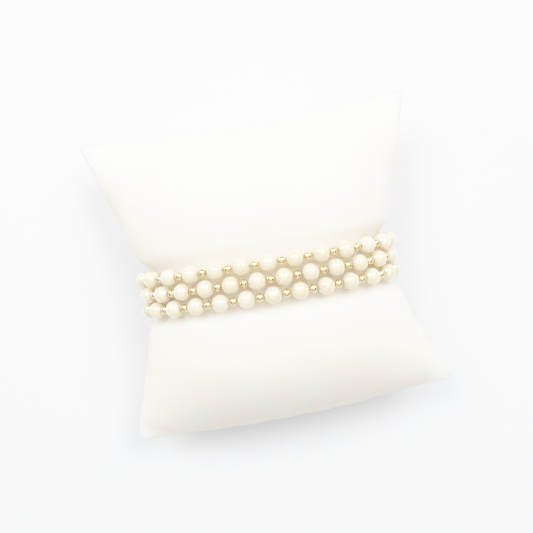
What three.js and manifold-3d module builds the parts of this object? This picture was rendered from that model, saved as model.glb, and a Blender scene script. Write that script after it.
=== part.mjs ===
// Bracelet of three strands of pearls and small gold beads, around a plain display pillow.
// Millimetres, +Z up. The origin is on the table, under the middle of the outline.
// +X runs along the bracelet's rows to the right, and +Y to the back.
import * as THREE from "three";
import { mergeVertices } from "three/addons/utils/BufferGeometryUtils.js";
import Module from "manifold-3d";

const wasm = await Module();
wasm.setup();

// Beads and thread
const pearlDiameter = 5;
const goldDiameter = 2.5;
const threadDiameter = 0.8;
const beadSides = 10;
const pearlStacks = 5;
const goldStacks = 4;

// Loop that every strand's centre line follows, seen from the front
const loopHalfWidth = 37.4;
const loopRise = 21.6; // above its widest level
const loopDrop = 19; // below its widest level
const beadsOffTable = 0.4;
const strandSpacing = 4.55;
const middleBeadShift = -2.67; // along the loop from its crown to each strand's middle bead
const bandShift = -1.7; // the middle strand, in front of the middle between the pillow's corners

// Clasp
const claspLength = 14;
const claspThickness = 3.2;
const claspCorner = 2;
const claspEdge = 0.4;
const socketDepth = 1.5;
const socketGap = 0.3;
const socketSides = 10;

// Pillow
const pillowWidth = 101;
const pillowDepth = 94.6; // between the corners of its left side
const pillowLean = 0.9; // how far the back seam lies to the left, and the front seam to the right
const frontSkew = 4.3; // how much further back the front seam's right end lies than its left end
const backPull = 1.3; // how far the back seam curves in between its corners
const frontBelly = 4.2; // how far the front seam curves out between its corners
const cornerSag = 3.5; // how much lower the seam lies at its corners than at the waist
const middleSag = 12; // how much lower it lies between its corners than at them
const cornerCut = 1.2; // how blunt the corners are
const lobeSwell = 2.2; // how far the lobes stand above the pillow's waist
const tablePress = 3; // how far the lobes would reach below the table if it did not flatten them
const seamThickness = 1.4;
const seatGap = 0.4; // between the beads and the pillow
const ringPoints = 32;

// Pillow sections on each side of the band, from the waist out to the front or back seam.
// out: share of the way from the waist to the seam
// width: share of the way from the waist's half width to the corners' half width
// rise, drop: shares of the lobes' height above and depth below the seam's level
// point: 1 is an ellipse, and more draws the section to a point at its side seams
const pillowSections = [
  { out: 0.05, width: 0.225, rise: 0.95, drop: 0.82, point: 1.0 },
  { out: 0.13, width: 0.31, rise: 1.0, drop: 0.98, point: 1.05 },
  { out: 0.27, width: 0.39, rise: 1.0, drop: 1.0, point: 1.15 },
  { out: 0.42, width: 0.5, rise: 0.975, drop: 0.97, point: 1.25 },
  { out: 0.58, width: 0.65, rise: 0.905, drop: 0.88, point: 1.4 },
  { out: 0.74, width: 0.79, rise: 0.785, drop: 0.71, point: 1.6 },
  { out: 0.87, width: 0.9, rise: 0.62, drop: 0.47, point: 1.8 },
  { out: 0.95, width: 0.98, rise: 0.4, drop: 0.26, point: 1.9 },
  { out: 0.975, width: 1.0, rise: 0.25, drop: 0.16, point: 1.9 },
];

const pearlRadius = pearlDiameter / 2;
const goldRadius = goldDiameter / 2;
const threadRadius = threadDiameter / 2;
const beadStep = pearlRadius + goldRadius;
const loopLevel = beadsOffTable + pearlRadius + loopDrop;

// The loop as a closed curve that starts at its crown and runs down to the right.
class StrandLoop extends THREE.Curve {
  getPoint(share, target = new THREE.Vector3()) {
    const angle = 2 * Math.PI * share;
    const reach = Math.cos(angle) > 0 ? loopRise : loopDrop;
    return target.set(loopHalfWidth * Math.sin(angle), 0, loopLevel + reach * Math.cos(angle));
  }
}

const loop = new StrandLoop();
loop.arcLengthDivisions = 1440;
const loopLength = loop.getLength();

// The frame of the loop at a distance along it from the crown: its point, direction and outward side.
function loopFrame(distance) {
  const share = THREE.MathUtils.euclideanModulo(distance / loopLength, 1);
  const along = loop.getTangentAt(share);
  return { point: loop.getPointAt(share), along, out: new THREE.Vector3(-along.z, 0, along.x) };
}

// Each half of a strand holds as many beads as fit between its middle bead and the clasp.
const halfLength = (loopLength - claspLength) / 2;
const beadsPerHalf = Math.floor((halfLength - pearlRadius - socketGap) / beadStep);
const claspCentre = middleBeadShift + loopLength / 2;

function toMesh(name, geometry, material) {
  geometry.computeVertexNormals();
  const mesh = new THREE.Mesh(geometry, material);
  mesh.name = name;
  return mesh;
}

function toSolid(geometry) {
  const bare = geometry.clone();
  bare.deleteAttribute("normal");
  bare.deleteAttribute("uv");
  const merged = mergeVertices(bare, 1e-4);
  return new wasm.Manifold(
    new wasm.Mesh({
      numProp: 3,
      vertProperties: merged.attributes.position.array,
      triVerts: new Uint32Array(merged.index.array),
    }),
  );
}

function fromSolid(solid) {
  const mesh = solid.getMesh();
  const geometry = new THREE.BufferGeometry();
  geometry.setAttribute("position", new THREE.BufferAttribute(mesh.vertProperties, 3));
  geometry.setIndex(new THREE.BufferAttribute(mesh.triVerts, 1));
  return geometry;
}

// A strand is turned on a straight axis and then laid along the loop. Each row of the turned
// profile keeps the place on the loop of the bead that it belongs to, so the beads stay round.
function strandProfile(startsInSocket, endsInSocket, isPearl) {
  const rows = [];
  const addRow = (radius, place, offset) => rows.push({ radius, place, offset });
  addRow(0, startsInSocket, 0);
  addRow(threadRadius, startsInSocket, 0);
  for (let i = -beadsPerHalf; i <= beadsPerHalf; i++) {
    const place = middleBeadShift + i * beadStep;
    const radius = isPearl(i) ? pearlRadius : goldRadius;
    const stacks = isPearl(i) ? pearlStacks : goldStacks;
    const mouth = Math.sqrt(radius ** 2 - threadRadius ** 2);
    addRow(threadRadius, place, -mouth);
    for (let k = 1; k < stacks; k++) {
      const angle = (Math.PI * k) / stacks;
      addRow(radius * Math.sin(angle), place, -radius * Math.cos(angle));
    }
    if (i === beadsPerHalf) addRow(threadRadius, place, mouth);
  }
  addRow(threadRadius, endsInSocket, 0);
  addRow(0, endsInSocket, 0);
  return rows;
}

function strandGeometry(rows, across) {
  const profile = rows.map((row) => new THREE.Vector2(row.radius, row.place + row.offset));
  const geometry = new THREE.LatheGeometry(profile, beadSides);
  const position = geometry.attributes.position;
  const spot = new THREE.Vector3();
  for (let i = 0; i < position.count; i++) {
    const row = rows[i % rows.length];
    const frame = loopFrame(row.place);
    spot.copy(frame.point).addScaledVector(frame.along, row.offset);
    spot.addScaledVector(frame.out, position.getZ(i));
    spot.y += across - position.getX(i);
    position.setXYZ(i, spot.x, spot.y, spot.z);
  }
  return fromSolid(toSolid(geometry));
}

function strand(name, rowNumber, pearlInMiddle) {
  const across = bandShift + rowNumber * strandSpacing;
  const socket = claspLength / 2 - socketDepth + socketGap;
  const rows = strandProfile(claspCentre - loopLength + socket, claspCentre - socket, (i) =>
    pearlInMiddle ? i % 2 === 0 : i % 2 !== 0,
  );
  return toMesh(name, strandGeometry(rows, across), pearlMaterial);
}

// The clasp is a flat bar with rounded ends, along the chord between the strands' two ends.
function clasp() {
  const left = loopFrame(claspCentre + claspLength / 2);
  const right = loopFrame(claspCentre - claspLength / 2);
  const chord = left.point.clone().sub(right.point);
  const endX = chord.length() / 2;
  const sideY = strandSpacing + pearlRadius;
  const corner = claspCorner;
  const outline = new THREE.Shape();
  outline.absarc(endX - corner, corner - sideY, corner, -Math.PI / 2, 0);
  outline.absarc(endX - corner, sideY - corner, corner, 0, Math.PI / 2);
  outline.absarc(corner - endX, sideY - corner, corner, Math.PI / 2, Math.PI);
  outline.absarc(corner - endX, corner - sideY, corner, Math.PI, 1.5 * Math.PI);
  const bar = new THREE.ExtrudeGeometry(outline, {
    depth: claspThickness - 2 * claspEdge,
    curveSegments: 3,
    bevelSize: claspEdge,
    bevelThickness: claspEdge,
    bevelOffset: -claspEdge,
    bevelSegments: 1,
  });
  bar.translate(0, 0, claspEdge - claspThickness / 2);
  const middle = left.point.clone().add(right.point).multiplyScalar(0.5);
  bar.rotateY(Math.atan2(chord.z, -chord.x));
  bar.translate(middle.x, bandShift, middle.z);
  let solid = toSolid(bar);
  for (const end of [left, right]) {
    for (const rowNumber of [-1, 0, 1]) {
      solid = solid.subtract(socketCutter(end, bandShift + rowNumber * strandSpacing));
    }
  }
  return toMesh("clasp", fromSolid(solid), goldMaterial);
}

function socketCutter(end, across) {
  const radius = threadRadius + socketGap;
  const cutter = new THREE.CylinderGeometry(radius, radius, 2 * socketDepth, socketSides);
  cutter.rotateZ(Math.PI / 2);
  cutter.rotateY(Math.atan2(-end.along.z, end.along.x));
  cutter.translate(end.point.x, across, end.point.z);
  return toSolid(cutter);
}

// One ring of the pillow's surface, from its right side seam over the top, counterclockwise.
function pillowRing(ring) {
  const points = [];
  for (let i = 0; i < ringPoints; i++) {
    const angle = (2 * Math.PI * i) / ringPoints;
    const inner = Math.sin(angle) ** 2;
    const height = Math.abs(Math.sin(angle)) ** ring.point;
    const x = ring.x + ring.halfWidth * Math.cos(angle);
    const y = ring.y + (ring.skew * (1 + Math.cos(angle))) / 2 + ring.pull * inner;
    const level = ring.level - ring.sag * inner;
    const z = level + height * (i < ringPoints / 2 ? ring.rise : -ring.drop);
    points.push(new THREE.Vector3(x, y, Math.max(z, 0)));
  }
  return points;
}

function pillowRings() {
  const waistHalfWidth = loopHalfWidth - pearlRadius - seatGap;
  const waistRise = loopRise - pearlRadius - seatGap;
  const waistDrop = loopDrop - pearlRadius - seatGap;
  const waistHalfDepth = strandSpacing + pearlRadius + seatGap;
  const lobeRise = waistRise + lobeSwell;
  const lobeDrop = loopLevel + tablePress;
  const edge = seamThickness / 2;
  const sideRings = (side) => {
    const reach = pillowDepth / 2 - side * bandShift - waistHalfDepth;
    const ringAt = (out, halfWidth, rise, drop, point) =>
      pillowRing({
        x: -side * pillowLean * out,
        y: bandShift + side * (waistHalfDepth + out * reach),
        level: loopLevel - cornerSag * out ** 2,
        sag: middleSag * out ** 4,
        skew: side < 0 ? frontSkew * out ** 2 : 0,
        pull: -(side < 0 ? frontBelly : backPull) * out ** 2,
        halfWidth,
        rise,
        drop,
        point,
      });
    const rings = [ringAt(0, waistHalfWidth, waistRise, waistDrop, 1)];
    for (const section of pillowSections) {
      const halfWidth = THREE.MathUtils.lerp(waistHalfWidth, pillowWidth / 2, section.width);
      const rise = lobeRise * section.rise;
      const drop = lobeDrop * section.drop;
      rings.push(ringAt(section.out, halfWidth, rise, drop, section.point));
    }
    rings.push(ringAt(1, pillowWidth / 2 - cornerCut, edge, edge, 1));
    return rings;
  };
  return [...sideRings(-1).reverse(), ...sideRings(1)];
}

function pillow() {
  const rings = pillowRings();
  const index = [];
  const addTriangle = (a, b, c) => {
    if (a !== b && b !== c && c !== a) index.push(a, b, c);
  };
  for (let row = 0; row < rings.length - 1; row++) {
    for (let i = 0; i < ringPoints; i++) {
      const next = (i + 1) % ringPoints;
      const a = row * ringPoints + i;
      const b = row * ringPoints + next;
      addTriangle(a, a + ringPoints, b);
      addTriangle(b, a + ringPoints, b + ringPoints);
    }
  }
  // The thin front and back ends are closed by strips between their upper and lower edges.
  const last = (rings.length - 1) * ringPoints;
  for (let i = 0; i < ringPoints / 2; i++) {
    const under = (ringPoints - i) % ringPoints;
    const next = i + 1;
    const nextUnder = ringPoints - next;
    addTriangle(i, next, under);
    addTriangle(next, nextUnder, under);
    addTriangle(last + next, last + i, last + under);
    addTriangle(last + next, last + under, last + nextUnder);
  }
  const geometry = new THREE.BufferGeometry().setFromPoints(rings.flat());
  geometry.setIndex(index);
  return toMesh("display_pillow", geometry, pillowMaterial);
}

const pearlMaterial = new THREE.MeshStandardMaterial({
  color: 0xf4ead8,
  roughness: 0.18,
  metalness: 0,
});
const goldMaterial = new THREE.MeshStandardMaterial({
  color: 0xd9a94e,
  roughness: 0.15,
  metalness: 1,
});
const pillowMaterial = new THREE.MeshStandardMaterial({
  color: 0xf6f2ec,
  roughness: 0.7,
  metalness: 0,
});

const bracelet = new THREE.Group();
bracelet.add(strand("strand_front", -1, false));
bracelet.add(strand("strand_middle", 0, true));
bracelet.add(strand("strand_back", 1, false));
bracelet.add(clasp());

const group = new THREE.Group();
group.add(pillow(), bracelet);

// The origin goes under the middle of the outline.
const middle = new THREE.Box3().setFromObject(group).getCenter(new THREE.Vector3());
group.position.set(-middle.x, -middle.y, 0);
export default group;
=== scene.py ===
import math
import random

import bmesh
import bpy
from mathutils import Matrix, Vector
from mathutils.kdtree import KDTree


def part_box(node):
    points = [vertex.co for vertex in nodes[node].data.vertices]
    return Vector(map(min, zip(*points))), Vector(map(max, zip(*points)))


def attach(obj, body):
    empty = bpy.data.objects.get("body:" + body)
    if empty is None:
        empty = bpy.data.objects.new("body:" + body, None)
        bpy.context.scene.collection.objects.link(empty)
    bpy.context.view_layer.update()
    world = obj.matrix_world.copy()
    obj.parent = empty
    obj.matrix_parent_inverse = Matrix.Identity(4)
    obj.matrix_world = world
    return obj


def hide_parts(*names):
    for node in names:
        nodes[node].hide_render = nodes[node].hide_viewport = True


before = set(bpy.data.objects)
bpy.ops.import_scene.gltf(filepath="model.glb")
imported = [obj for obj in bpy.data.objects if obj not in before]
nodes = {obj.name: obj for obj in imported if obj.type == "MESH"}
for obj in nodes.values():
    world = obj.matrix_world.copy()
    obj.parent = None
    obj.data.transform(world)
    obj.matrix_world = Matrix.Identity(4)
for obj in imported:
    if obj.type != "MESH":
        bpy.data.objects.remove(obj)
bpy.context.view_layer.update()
mm = 0.001

# the loop that the strands follow, as in the frame's own solids
loop = dict(
    halfWidth=37.4 * mm,
    rise=21.6 * mm,  # above its widest level
    drop=19.0 * mm,  # below its widest level
    offTable=0.4 * mm,  # lowest pearls above the table
    rowSpacing=4.55 * mm,
    bandY=sum(corner[1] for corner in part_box("strand_middle")) / 2,
    middleBead=-2.67 * mm,  # along the loop from the crown
    claspLength=14.0 * mm,
    socketGap=0.3 * mm,  # from the last bead to the clasp
    samples=2880,
)

pearl = dict(
    diameter=5.0 * mm,
    hole=0.8 * mm,
    rim=0.12 * mm,  # softened edge of the drill hole
    sides=32,
    stacks=18,
    offRound=0.012,  # how far a pearl may be from a true ball
)

goldBead = dict(
    diameter=2.5 * mm,
    hole=0.9 * mm,
    rim=0.1 * mm,
    sides=24,
    stacks=14,
    offRound=0.0,
)

thread = dict(
    diameter=0.5 * mm,
    sides=8,
    step=1.25 * mm,
    inSocket=1.2 * mm,  # how far its ends reach into the clasp
)

pillow = dict(
    cutSpacing=3.7 * mm,  # between the extra cuts across the waist
    uprightWithin=0.01 * mm,  # an edge this near to upright belongs to the end strips
    rounding=2,  # subdivisions before the cover is filled
    seamCrease=0.9,
    seamSteps=10,  # points along each of the seam's edges that distances are taken to
    sewnZone=0.5 * mm,  # this near the seam the cover stays put
    quietReach=9.0 * mm,  # either side of the band's middle, where the bracelet holds the cover
    freeReach=20.0 * mm,  # from here on it is free to swell
    simScale=8.0,  # cloth behaves best on a cushion of this many times the size
    pressure=4.0,
    spareCloth=0.03,
    frames=20,
    mostSwell=1.1 * mm,
)

camera = dict(
    lens=47.3,
    sensor=36.0,
    fromBand=(6.6 * mm, 13.4 * mm, 235.0 * mm),  # from the table under the band's middle
    turn=(-3.2, 1.3, -9.5),
)

studio = dict(
    windowDistance=1.2,
    windowHeight=50,  # degrees above the table
    windowSides=(-34, 46),  # degrees to the right of the pillow's back
    windowSize=(0.68, 0.6),
    windowPower=8.0,
    windowColour="#F8FBFF",
    # the room by how steeply one looks up: pale horizon, warm walls, cooler ceiling
    roomColours=[(0.0, "#D2D3D5"), (0.2, "#BDB4A5"), (0.35, "#BDB4A5"), (0.75, "#B8BABD")],
    overheadAt=((0.05, 0.10, 1.0), 32),  # direction and radius in degrees
    overheadGain=2.4,  # how much brighter the light overhead is than the ceiling
    overheadBlur=10,
    spotBlur=3,
    spotLight=0.03,  # what is left of the light inside a dark spot
    floorHalf=3.0,
    # what the bright exposure makes of each strength of light, from black to white
    exposureCurve=[
        (0, 0), (0.1, 0.13), (0.3, 0.45), (0.5, 0.66), (0.7, 0.81),
        (0.9, 0.91), (1.1, 0.96), (1.5, 0.99), (2, 1),
    ],
    # dark things in the room that the polished beads mirror: direction and radius in degrees
    darkSpots=[
        ((-0.19, 0.27, 0.94), 18),
        ((0.03, 0.50, 0.87), 14),
        ((0.04, 0.77, 0.64), 11),
        ((0.05, 0.92, 0.38), 9),
        ((-0.80, -0.22, 0.56), 16),
        ((0.77, -0.27, 0.58), 16),
    ],
)


def say(text):
    print("scene:", text)


# colours and nodes

def linear(hexColour):
    values = [int(hexColour[i : i + 2], 16) / 255 for i in (1, 3, 5)]
    return [v / 12.92 if v <= 0.04045 else ((v + 0.055) / 1.055) ** 2.4 for v in values] + [1.0]


def startMaterial(name):
    material = bpy.data.materials.new(name)
    material.use_nodes = True
    material.node_tree.nodes.clear()
    return material, material.node_tree


def addNode(tree, kind, settings=None, inputs=None):
    node = tree.nodes.new(kind)
    for key, value in (settings or {}).items():
        setattr(node, key, value)
    for key, value in (inputs or {}).items():
        if isinstance(value, bpy.types.NodeSocket):
            tree.links.new(value, node.inputs[key])
        else:
            node.inputs[key].default_value = value
    return node


def addRamp(tree, source, stops):
    node = addNode(tree, "ShaderNodeValToRGB", inputs={"Fac": source})
    ramp = node.color_ramp
    while len(ramp.elements) < len(stops):
        ramp.elements.new(0.5)
    for element, (position, colour) in zip(ramp.elements, stops):
        element.position = position
        element.color = colour
    return node


def objectPlace(tree, scale=(1, 1, 1)):
    coordinates = addNode(tree, "ShaderNodeTexCoord")
    mapping = addNode(
        tree, "ShaderNodeMapping",
        inputs={"Vector": coordinates.outputs["Object"], "Scale": scale},
    )
    return mapping.outputs["Vector"]


# Nacre: thin layers of pearl over a bead core, so a deep clear gloss over a milky body.
def pearlNacre():
    material, tree = startMaterial("pearl_nacre")
    place = objectPlace(tree)
    cloud = addNode(
        tree, "ShaderNodeTexNoise", inputs={"Vector": place, "Scale": 420.0, "Detail": 3.0},
    )
    tone = addNode(tree, "ShaderNodeAttribute", {"attribute_name": "beadTone"})
    mixed = addNode(
        tree, "ShaderNodeMath", {"operation": "MULTIPLY_ADD"},
        {0: cloud.outputs["Fac"], 1: 0.5, 2: tone.outputs["Fac"]},
    )
    body = addRamp(tree, mixed.outputs["Value"], [
        (0.15, linear("#F0D8B2")),
        (0.55, linear("#F3DEC1")),
        (0.95, linear("#F5DFC6")),
    ])
    ripple = addNode(
        tree, "ShaderNodeTexNoise", inputs={"Vector": place, "Scale": 1400.0, "Detail": 2.0},
    )
    bump = addNode(
        tree, "ShaderNodeBump",
        inputs={"Height": ripple.outputs["Fac"], "Strength": 0.04, "Distance": 0.05 * mm},
    )
    rough = addNode(
        tree, "ShaderNodeMapRange",
        inputs={"Value": ripple.outputs["Fac"], "To Min": 0.16, "To Max": 0.24},
    )
    shader = addNode(tree, "ShaderNodeBsdfPrincipled", inputs={
        "Base Color": body.outputs["Color"],
        "Roughness": rough.outputs["Result"],
        "IOR": 1.53,
        "Subsurface Weight": 1.0,
        "Subsurface Radius": (1.0, 0.88, 0.62),
        "Subsurface Scale": 4.0 * mm,
        "Sheen Weight": 0.7,
        "Sheen Roughness": 0.4,
        "Sheen Tint": linear("#FFF6E0"),
        "Coat Weight": 1.0,
        "Coat Roughness": 0.04,
        "Coat IOR": 1.72,
        "Normal": bump.outputs["Normal"],
    })
    addNode(tree, "ShaderNodeOutputMaterial", inputs={"Surface": shader.outputs["BSDF"]})
    return material


# Gold plating, barrel polished: mirror bright, with the finest rub marks.
def polishedGold():
    material, tree = startMaterial("polished_gold_plate")
    place = objectPlace(tree)
    wear = addNode(tree, "ShaderNodeTexNoise", inputs={"Vector": place, "Scale": 900.0, "Detail": 4.0})
    colour = addRamp(tree, wear.outputs["Fac"], [
        (0.3, linear("#F3DCAE")),
        (0.7, linear("#FAE9C6")),
    ])
    rough = addNode(
        tree, "ShaderNodeMapRange",
        inputs={"Value": wear.outputs["Fac"], "To Min": 0.04, "To Max": 0.12},
    )
    marks = addNode(
        tree, "ShaderNodeTexNoise", inputs={"Vector": place, "Scale": 5200.0, "Detail": 2.0},
    )
    bump = addNode(
        tree, "ShaderNodeBump",
        inputs={"Height": marks.outputs["Fac"], "Strength": 0.05, "Distance": 0.02 * mm},
    )
    shader = addNode(tree, "ShaderNodeBsdfPrincipled", inputs={
        "Base Color": colour.outputs["Color"],
        "Metallic": 1.0,
        "Roughness": rough.outputs["Result"],
        "Normal": bump.outputs["Normal"],
    })
    addNode(tree, "ShaderNodeOutputMaterial", inputs={"Surface": shader.outputs["BSDF"]})
    return material


# Twisted filament thread, off-white and slightly waxy.
def beadingThread():
    material, tree = startMaterial("beading_thread")
    place = objectPlace(tree, (1.0, 0.6, 1.0))
    twist = addNode(
        tree, "ShaderNodeTexWave", {"bands_direction": "DIAGONAL"},
        {"Vector": place, "Scale": 900.0, "Distortion": 0.4},
    )
    colour = addRamp(tree, twist.outputs["Fac"], [
        (0.2, linear("#DCD3BF")),
        (0.8, linear("#F2ECDD")),
    ])
    bump = addNode(
        tree, "ShaderNodeBump",
        inputs={"Height": twist.outputs["Fac"], "Strength": 0.5, "Distance": 0.05 * mm},
    )
    shader = addNode(tree, "ShaderNodeBsdfPrincipled", inputs={
        "Base Color": colour.outputs["Color"],
        "Roughness": 0.55,
        "Normal": bump.outputs["Normal"],
    })
    addNode(tree, "ShaderNodeOutputMaterial", inputs={"Surface": shader.outputs["BSDF"]})
    return material


# Leatherette: vinyl skin on cloth, embossed with a fine pebble, soft and matte. It dips at the
# sewn seam and is drawn into short puckers beside it. Heights are in millimetres.
def leatherette():
    material, tree = startMaterial("matte_leatherette")
    place = objectPlace(tree)
    pebble = addNode(
        tree, "ShaderNodeTexVoronoi", {"feature": "SMOOTH_F1"},
        {"Vector": place, "Scale": 1 / (0.7 * mm), "Smoothness": 0.8},
    )
    cloud = addNode(tree, "ShaderNodeTexNoise", inputs={"Vector": place, "Scale": 45.0, "Detail": 4.0})
    colour = addRamp(tree, cloud.outputs["Fac"], [
        (0.3, linear("#F3ECDF")),
        (0.7, linear("#F7F1E6")),
    ])
    rough = addNode(
        tree, "ShaderNodeMapRange",
        inputs={"Value": pebble.outputs["Distance"], "To Min": 0.62, "To Max": 0.5},
    )
    offset = addNode(tree, "ShaderNodeAttribute", {"attribute_name": "seamOffset"})
    fromSeam = addNode(tree, "ShaderNodeMath", {"operation": "ABSOLUTE"}, {0: offset.outputs["Fac"]})
    groove = addNode(tree, "ShaderNodeMapRange", {"interpolation_type": "SMOOTHSTEP"}, {
        "Value": fromSeam.outputs["Value"], "From Min": 0.05 * mm, "From Max": 0.5 * mm,
        "To Min": -0.3, "To Max": 0.0,
    })
    drawn = addNode(tree, "ShaderNodeMapRange", {"interpolation_type": "SMOOTHERSTEP"}, {
        "Value": fromSeam.outputs["Value"], "From Min": 0.3 * mm, "From Max": 5 * mm,
        "To Min": 0.3, "To Max": 0.0,
    })
    gathers = addNode(tree, "ShaderNodeTexNoise", inputs={
        "Vector": objectPlace(tree, (1.0, 1.0, 0.25)), "Scale": 1 / (3.2 * mm), "Detail": 1.5,
    })
    pucker = addNode(tree, "ShaderNodeMath", {"operation": "MULTIPLY_ADD"}, {
        0: gathers.outputs["Fac"], 1: drawn.outputs["Result"], 2: groove.outputs["Result"],
    })
    height = addNode(tree, "ShaderNodeMath", {"operation": "MULTIPLY_ADD"}, {
        0: pebble.outputs["Distance"], 1: 0.02, 2: pucker.outputs["Value"],
    })
    bump = addNode(
        tree, "ShaderNodeBump",
        inputs={"Height": height.outputs["Value"], "Strength": 1.0, "Distance": mm},
    )
    shader = addNode(tree, "ShaderNodeBsdfPrincipled", inputs={
        "Base Color": colour.outputs["Color"],
        "Roughness": rough.outputs["Result"],
        "IOR": 1.46,
        "Specular IOR Level": 0.35,
        "Subsurface Weight": 1.0,
        "Subsurface Radius": (1.0, 0.8, 0.55),
        "Subsurface Scale": 8.0 * mm,
        "Normal": bump.outputs["Normal"],
    })
    addNode(tree, "ShaderNodeOutputMaterial", inputs={"Surface": shader.outputs["BSDF"]})
    return material


# the strands' loop

loopLevel = loop["offTable"] + pearl["diameter"] / 2 + loop["drop"]


def loopPoint(angle):
    reach = loop["rise"] if math.cos(angle) > 0 else loop["drop"]
    return Vector((loop["halfWidth"] * math.sin(angle), 0, loopLevel + reach * math.cos(angle)))


def measureLoop():
    points = [loopPoint(2 * math.pi * i / loop["samples"]) for i in range(loop["samples"] + 1)]
    lengths = [0.0]
    for a, b in zip(points, points[1:]):
        lengths.append(lengths[-1] + (b - a).length)
    return points, lengths


loopPoints, loopLengths = measureLoop()
loopLength = loopLengths[-1]
claspCentre = loop["middleBead"] + loopLength / 2
beadStep = (pearl["diameter"] + goldBead["diameter"]) / 2


# A matrix at a distance along the loop: X runs along it, Y to the back and Z inwards or outwards.
def loopPlace(distance, rowNumber):
    wanted = distance % loopLength
    low, high = 0, len(loopLengths) - 1
    while high - low > 1:
        middle = (low + high) // 2
        if loopLengths[middle] <= wanted:
            low = middle
        else:
            high = middle
    share = (wanted - loopLengths[low]) / (loopLengths[high] - loopLengths[low])
    point = loopPoints[low].lerp(loopPoints[high], share)
    along = (loopPoints[high] - loopPoints[low]).normalized()
    back = Vector((0, 1, 0))
    out = along.cross(back)
    point.y = loop["bandY"] + rowNumber * loop["rowSpacing"]
    turn = Matrix((along, back, out)).transposed().to_4x4()
    return Matrix.Translation(point) @ turn


def strandBeads(rowNumber):
    halfLength = (loopLength - loop["claspLength"]) / 2
    count = math.floor((halfLength - pearl["diameter"] / 2 - loop["socketGap"]) / beadStep)
    pearls, golds = [], []
    for i in range(-count, count + 1):
        isPearl = (i % 2 == 0) == (rowNumber == 0)
        (pearls if isPearl else golds).append(loop["middleBead"] + i * beadStep)
    return pearls, golds


# mesh helpers

def meshObject(name, bm, material, smoothAngle=None):
    mesh = bpy.data.meshes.new(name)
    bm.to_mesh(mesh)
    bm.free()
    piece = bpy.data.objects.new(name, mesh)
    bpy.context.scene.collection.objects.link(piece)
    mesh.materials.append(material)
    mesh.shade_smooth()
    if smoothAngle:
        mesh.set_sharp_from_angle(angle=math.radians(smoothAngle))
    return piece


def beadMesh(sizes):
    radius, hole, rim = sizes["diameter"] / 2, sizes["hole"] / 2, sizes["rim"]
    bm = bmesh.new()
    mouth = math.asin((hole + rim) / radius)
    outline = []
    for i in range(sizes["stacks"] + 1):
        angle = mouth + (math.pi - 2 * mouth) * i / sizes["stacks"]
        outline.append((-radius * math.cos(angle), radius * math.sin(angle)))
    end = radius * math.cos(mouth)
    outline += [(end - rim * 0.35, hole + rim * 0.3), (end - rim, hole)]
    outline += [(rim - end, hole), (rim * 0.35 - end, hole + rim * 0.3)]
    verts = [bm.verts.new((x, 0, z)) for x, z in outline]
    edges = [bm.edges.new((a, b)) for a, b in zip(verts, verts[1:] + verts[:1])]
    bmesh.ops.spin(
        bm, geom=verts + edges, axis=(1, 0, 0), cent=(0, 0, 0),
        angle=2 * math.pi, steps=sizes["sides"], use_merge=True,
    )
    bmesh.ops.remove_doubles(bm, verts=bm.verts, dist=1e-7)
    bmesh.ops.recalc_face_normals(bm, faces=bm.faces)
    mesh = bpy.data.meshes.new("bead")
    bm.to_mesh(mesh)
    bm.free()
    return mesh


def beadRow(name, places, rowNumber, sizes, material, seed):
    template = beadMesh(sizes)
    draw = random.Random(seed)
    bm = bmesh.new()
    tones = []
    for distance in places:
        first = len(bm.verts)
        bm.from_mesh(template)
        bm.verts.ensure_lookup_table()
        own = bm.verts[first:]
        turn = Matrix.Rotation(draw.uniform(0, 2 * math.pi), 4, "X")
        stretch = [1 + draw.uniform(-1, 0) * sizes["offRound"] for _ in range(3)]
        shape = Matrix.Diagonal((*stretch, 1))
        bmesh.ops.transform(bm, matrix=loopPlace(distance, rowNumber) @ turn @ shape, verts=own)
        tones += [draw.uniform(0, 0.6)] * len(own)
    piece = meshObject(name, bm, material)
    tone = piece.data.attributes.new("beadTone", "FLOAT", "POINT")
    tone.data.foreach_set("value", tones)
    bpy.data.meshes.remove(template)
    return piece


def threadTube(name, rowNumber, material):
    reach = loopLength / 2 - loop["claspLength"] / 2 + thread["inSocket"]
    steps = round(2 * reach / thread["step"])
    start = loop["middleBead"] - reach
    bm = bmesh.new()
    upright = Matrix.Rotation(math.pi / 2, 4, "Y")
    rings = []
    for i in range(steps + 1):
        place = loopPlace(start + 2 * reach * i / steps, rowNumber)
        made = bmesh.ops.create_circle(
            bm, cap_ends=i in (0, steps), segments=thread["sides"],
            radius=thread["diameter"] / 2, matrix=place @ upright,
        )
        rings.append({edge for vert in made["verts"] for edge in vert.link_edges})
    for before, after in zip(rings, rings[1:]):
        bmesh.ops.bridge_loops(bm, edges=list(before | after))
    bmesh.ops.recalc_face_normals(bm, faces=bm.faces)
    return meshObject(name, bm, material, 60)


def mergedCopy(nodeName):
    bm = bmesh.new()
    bm.from_mesh(nodes[nodeName].data)
    bmesh.ops.remove_doubles(bm, verts=bm.verts, dist=1e-6)
    return bm


def claspBar(material):
    bm = mergedCopy("clasp")
    bmesh.ops.dissolve_limit(bm, angle_limit=math.radians(2), verts=bm.verts, edges=bm.edges)
    return meshObject("clasp_bar", bm, material, 40)


def smoothStep(low, high, value):
    share = min(max((value - low) / (high - low), 0), 1)
    return share * share * (3 - 2 * share)


# The cover's mesh as its modifiers leave it, in place of the one that they start from.
def applyModifiers(piece):
    seen = piece.evaluated_get(bpy.context.evaluated_depsgraph_get())
    mesh = bpy.data.meshes.new_from_object(seen)
    old = piece.data
    piece.modifiers.clear()
    piece.data = mesh
    bpy.data.meshes.remove(old)


# The seam joins the upper and the lower panel, so it is the cover's outline seen from above.
def seamEdges(bm):
    return [edge for edge in bm.edges if len({face.normal.z > 0 for face in edge.link_faces}) == 2]


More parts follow.
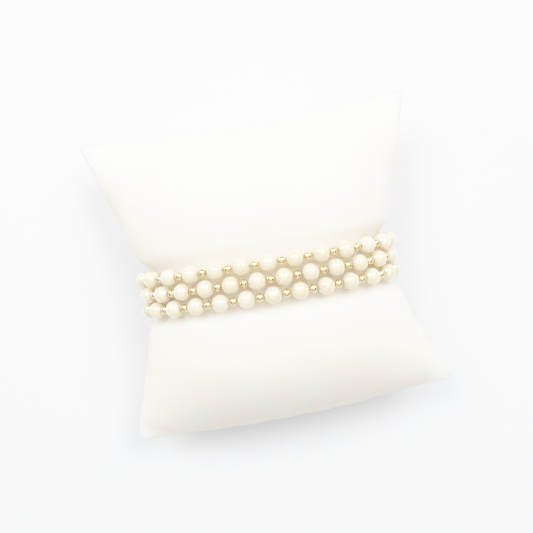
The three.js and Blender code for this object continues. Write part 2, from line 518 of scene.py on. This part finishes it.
def seamTree(piece):
    bm = bmesh.new()
    bm.from_mesh(piece.data)
    steps = pillow["seamSteps"]
    ends = [(edge.verts[0].co.copy(), edge.verts[1].co.copy()) for edge in seamEdges(bm)]
    bm.free()
    tree = KDTree(len(ends) * steps)
    for i, (start, end) in enumerate(ends):
        for k in range(steps):
            tree.insert(start.lerp(end, k / steps), i * steps + k)
    tree.balance()
    return tree


def roundedCover(material):
    bm = mergedCopy("display_pillow")
    bmesh.ops.join_triangles(
        bm, faces=bm.faces, angle_face_threshold=math.radians(60),
        angle_shape_threshold=math.radians(60),
    )
    for step in (-1, 0, 1):
        bmesh.ops.bisect_plane(
            bm, geom=bm.verts[:] + bm.edges[:] + bm.faces[:], dist=1e-6,
            plane_co=(0, loop["bandY"] + step * pillow["cutSpacing"], 0), plane_no=(0, 1, 0),
        )
    # The two panels meet in one line, also at the ends, where the solid has a thin upright strip.
    upright = [
        edge for edge in bm.edges
        if (edge.verts[0].co - edge.verts[1].co).xy.length < pillow["uprightWithin"]
    ]
    bmesh.ops.collapse(bm, edges=upright)
    bm.normal_update()
    crease = bm.edges.layers.float.new("crease_edge")
    for edge in seamEdges(bm):
        edge[crease] = pillow["seamCrease"]
    piece = meshObject("pillow_cover", bm, material)
    rounding = piece.modifiers.new("rounding", "SUBSURF")
    rounding.levels = rounding.render_levels = pillow["rounding"]
    applyModifiers(piece)
    return piece


# The filling presses the cover out between its seams, where the bracelet lets it.
def fillCover(piece, seam):
    scene = bpy.context.scene
    mesh = piece.data
    rest = [vert.co.copy() for vert in mesh.vertices]
    grow = pillow["simScale"]
    mesh.transform(Matrix.Scale(grow, 4))
    sewn = piece.vertex_groups.new(name="sewn")
    for i, spot in enumerate(rest):
        atSeam = seam.find(spot)[2] < pillow["sewnZone"]
        away = abs(spot.y - loop["bandY"])
        held = 1 if atSeam else 1 - smoothStep(pillow["quietReach"], pillow["freeReach"], away)
        sewn.add([i], held, "REPLACE")
    filling = piece.modifiers.new("filling", "CLOTH")
    filling.settings.use_pressure = True
    filling.settings.uniform_pressure_force = pillow["pressure"]
    filling.settings.shrink_min = -pillow["spareCloth"]
    filling.settings.vertex_group_mass = "sewn"
    filling.settings.effector_weights.gravity = 0
    filling.point_cache.frame_start = 1
    filling.point_cache.frame_end = pillow["frames"]
    for frameNumber in range(1, pillow["frames"] + 1):
        scene.frame_set(frameNumber)
    applyModifiers(piece)
    most = 0
    for vert, spot in zip(piece.data.vertices, rest):
        move = vert.co / grow - spot
        most = max(most, move.length)
        free = smoothStep(pillow["quietReach"], pillow["freeReach"], abs(spot.y - loop["bandY"]))
        cap = pillow["mostSwell"] * free
        move *= cap / (cap + move.length) if move.length > 0 else 0
        vert.co = spot + move
        vert.co.z = max(vert.co.z, 0)
    scene.frame_set(1)
    say("cloth moved up to %.2f mm before its cap" % (most / mm))


# How far each point of the cover lies from the seam, less than nothing on the lower panel.
def markSeam(piece, seam):
    offsets = [math.copysign(seam.find(vert.co)[2], vert.normal.z) for vert in piece.data.vertices]
    mark = piece.data.attributes.new("seamOffset", "FLOAT", "POINT")
    mark.data.foreach_set("value", offsets)


def pillowCover(material):
    piece = roundedCover(material)
    seam = seamTree(piece)
    fillCover(piece, seam)
    piece.data.shade_smooth()
    markSeam(piece, seam)
    finish = piece.modifiers.new("finish", "SUBSURF")
    finish.levels = finish.render_levels = 1
    return piece


def dress(piece, slotName, *replaced):
    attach(piece, "root")
    if replaced:
        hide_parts(*replaced)
    return piece


def makeCamera():
    data = bpy.data.cameras.new("camera")
    data.sensor_width = camera["sensor"]
    data.lens = camera["lens"]
    data.clip_start = 0.01
    eye = bpy.data.objects.new("camera", data)
    eye.location = Vector((0, loop["bandY"], 0)) + Vector(camera["fromBand"])
    eye.rotation_euler = [math.radians(a) for a in camera["turn"]]
    bpy.context.scene.collection.objects.link(eye)
    bpy.context.scene.camera = eye


def makeFloor():
    material, tree = startMaterial("pale_floor")
    place = objectPlace(tree)
    cloud = addNode(tree, "ShaderNodeTexNoise", inputs={"Vector": place, "Scale": 6.0})
    colour = addRamp(tree, cloud.outputs["Fac"], [
        (0.3, linear("#EDEEF1")),
        (0.7, linear("#F1F2F4")),
    ])
    shader = addNode(tree, "ShaderNodeBsdfPrincipled", inputs={
        "Base Color": colour.outputs["Color"],
        "Roughness": 0.55,
    })
    addNode(tree, "ShaderNodeOutputMaterial", inputs={"Surface": shader.outputs["BSDF"]})
    bm = bmesh.new()
    bmesh.ops.create_grid(bm, x_segments=1, y_segments=1, size=studio["floorHalf"])
    floor = meshObject("floor", bm, material)


def makeWindow(name, side):
    data = bpy.data.lights.new(name, "AREA")
    data.shape = "RECTANGLE"
    data.size, data.size_y = studio["windowSize"]
    data.energy = studio["windowPower"]
    data.color = linear(studio["windowColour"])[:3]
    across, up = math.radians(side), math.radians(studio["windowHeight"])
    towards = Vector((math.cos(up) * math.sin(across), math.cos(up) * math.cos(across), math.sin(up)))
    light = bpy.data.objects.new(name, data)
    light.location = towards * studio["windowDistance"]
    light.rotation_euler = towards.to_track_quat("Z", "Y").to_euler()
    bpy.context.scene.collection.objects.link(light)


# A round patch of the room, between what it is inside and outside over a few degrees.
def roomPatch(tree, towards, direction, radius, blur, inside, outside):
    near = addNode(
        tree, "ShaderNodeVectorMath", {"operation": "DOT_PRODUCT"},
        {0: towards, 1: Vector(direction).normalized()},
    )
    patch = addNode(tree, "ShaderNodeMapRange", {"interpolation_type": "SMOOTHSTEP"}, {
        "Value": near.outputs["Value"],
        "From Min": math.cos(math.radians(radius + blur)),
        "From Max": math.cos(math.radians(radius - blur)),
        "To Min": outside,
        "To Max": inside,
    })
    return patch.outputs["Result"]


# A room with warm pale walls under a cooler ceiling, with a large soft light overhead.
def makeRoom():
    world = bpy.data.worlds.new("room")
    world.use_nodes = True
    tree = world.node_tree
    tree.nodes.clear()
    towards = addNode(tree, "ShaderNodeTexCoord").outputs["Generated"]
    height = addNode(tree, "ShaderNodeSeparateXYZ", inputs={"Vector": towards}).outputs["Z"]
    colour = addRamp(tree, height, [(place, linear(shade)) for place, shade in studio["roomColours"]])
    direction, radius = studio["overheadAt"]
    light = roomPatch(
        tree, towards, direction, radius, studio["overheadBlur"], studio["overheadGain"], 1.0,
    )
    for direction, radius in studio["darkSpots"]:
        spot = roomPatch(
            tree, towards, direction, radius, studio["spotBlur"], studio["spotLight"], 1.0,
        )
        both = addNode(tree, "ShaderNodeMath", {"operation": "MULTIPLY"}, {0: light, 1: spot})
        light = both.outputs["Value"]
    sky = addNode(
        tree, "ShaderNodeBackground", inputs={"Color": colour.outputs["Color"], "Strength": light},
    )
    addNode(tree, "ShaderNodeOutputWorld", inputs={"Surface": sky.outputs["Background"]})
    bpy.context.scene.world = world


def makeStudio():
    look = bpy.context.scene.view_settings
    look.view_transform = "Standard"
    look.use_curve_mapping = True
    points = studio["exposureCurve"]
    look.curve_mapping.clip_max_x = points[-1][0]
    curve = look.curve_mapping.curves[3]
    while len(curve.points) < len(points):
        curve.points.new(1, 1)
    for point, (light, shown) in zip(curve.points, points):
        point.location = (light, shown)
    look.curve_mapping.update()
    makeRoom()
    for name, side in zip(("window_left", "window_right"), studio["windowSides"]):
        makeWindow(name, side)


makeCamera()
pearlLook = pearlNacre()
goldLook = polishedGold()
threadLook = beadingThread()
coverLook = leatherette()

cover = dress(pillowCover(coverLook), "pillow_cover", "display_pillow")
say("pillow")

for number, (rowName, rowNumber) in enumerate((("front", -1), ("middle", 0), ("back", 1))):
    pearls, golds = strandBeads(rowNumber)
    node = "strand_" + rowName
    pearlRow = beadRow("pearls_" + rowName, pearls, rowNumber, pearl, pearlLook, 11 + number)
    goldRow = beadRow("gold_beads_" + rowName, golds, rowNumber, goldBead, goldLook, 31 + number)
    dress(pearlRow, "pearl", node)
    dress(goldRow, "gold", node)
    dress(threadTube("thread_" + rowName, rowNumber, threadLook), "thread", node)
say("strands")

dress(claspBar(goldLook), "gold", "clasp")
say("clasp")

makeFloor()
makeStudio()

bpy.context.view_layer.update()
say("sizes written")
